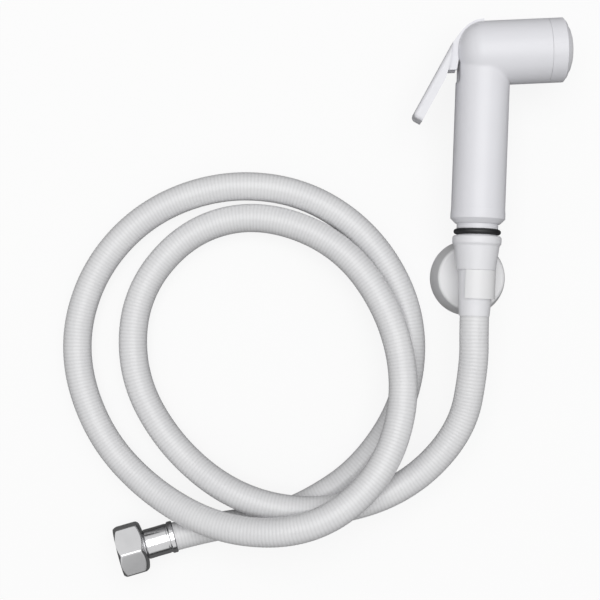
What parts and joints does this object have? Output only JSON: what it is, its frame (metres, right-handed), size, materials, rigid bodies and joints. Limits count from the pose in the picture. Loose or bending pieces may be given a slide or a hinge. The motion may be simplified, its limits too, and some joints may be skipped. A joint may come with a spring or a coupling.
{
  "type": "handheld bidet shower",
  "caption": "Handheld bidet shower: trigger handset with an angled spray head standing in a wall holder, a coiled ribbed hose and a hex swivel nut at its inlet end",
  "frame": {"origin": "centre of the holder's back face, on the wall plane at z = 0", "axes": "+Z points out of the wall, +Y runs along the handle towards the head, +X points to the spray side"},
  "size_m": [0.2505, 0.2873, 0.0459],
  "materials": {
    "white_abs": "gloss",
    "hose_pvc": "satin",
    "black_rubber": "satin",
    "chrome": "polished",
    "brass": "satin",
    "steel": "satin",
    "grey_nylon": "matte"
  },
  "bodies": {
    "shower": {"handset_body": "white_abs", "face_ring": "white_abs", "spray_plate": "white_abs", "face_gasket": "black_rubber", "valve_seat": "brass", "spring_retainer": "grey_nylon", "stem_gland": "grey_nylon", "stem_o_ring": "black_rubber", "pivot_pin": "white_abs", "neck_o_ring": "black_rubber", "hose_washer": "black_rubber", "cone_nut": "white_abs", "hose_tail": "brass", "hose": "hose_pvc", "inlet_ferrule": "chrome", "inlet_tail": "brass", "wall_plate": "white_abs", "holder": "white_abs", "return_spring": "steel"},
    "lever": {"trigger_lever": "white_abs"},
    "valve": {"valve_stem": "brass", "valve_seal": "black_rubber"},
    "swivel_nut": {"inlet_nut": "chrome", "inlet_washer": "black_rubber"}
  },
  "joints": [
    {"name": "lever_press", "type": "hinge", "parent": "shower", "child": "lever", "pos_m": [-0.00528, 0.12161, 0.029], "axis": [0, 0, 1], "range_deg": [0, 12], "stiffness_Nm_per_rad": 0.3, "springref_deg": -45.84},
    {"name": "valve_slide", "type": "slide", "parent": "shower", "child": "valve", "axis": [0.9968, 0.0802, 0], "range_m": [0, 0.00268], "deforming": ["return_spring"]},
    {"name": "swivel_nut_spin", "type": "hinge", "parent": "shower", "child": "swivel_nut", "pos_m": [-0.16483, -0.14322, 0.01418], "axis": [-0.9465, -0.2912, 0.1392], "continuous": true}
  ],
  "couplings": [
    {"joint": "valve_slide", "follows": "lever_press", "m_per_rad": 0.0128}
  ]
}
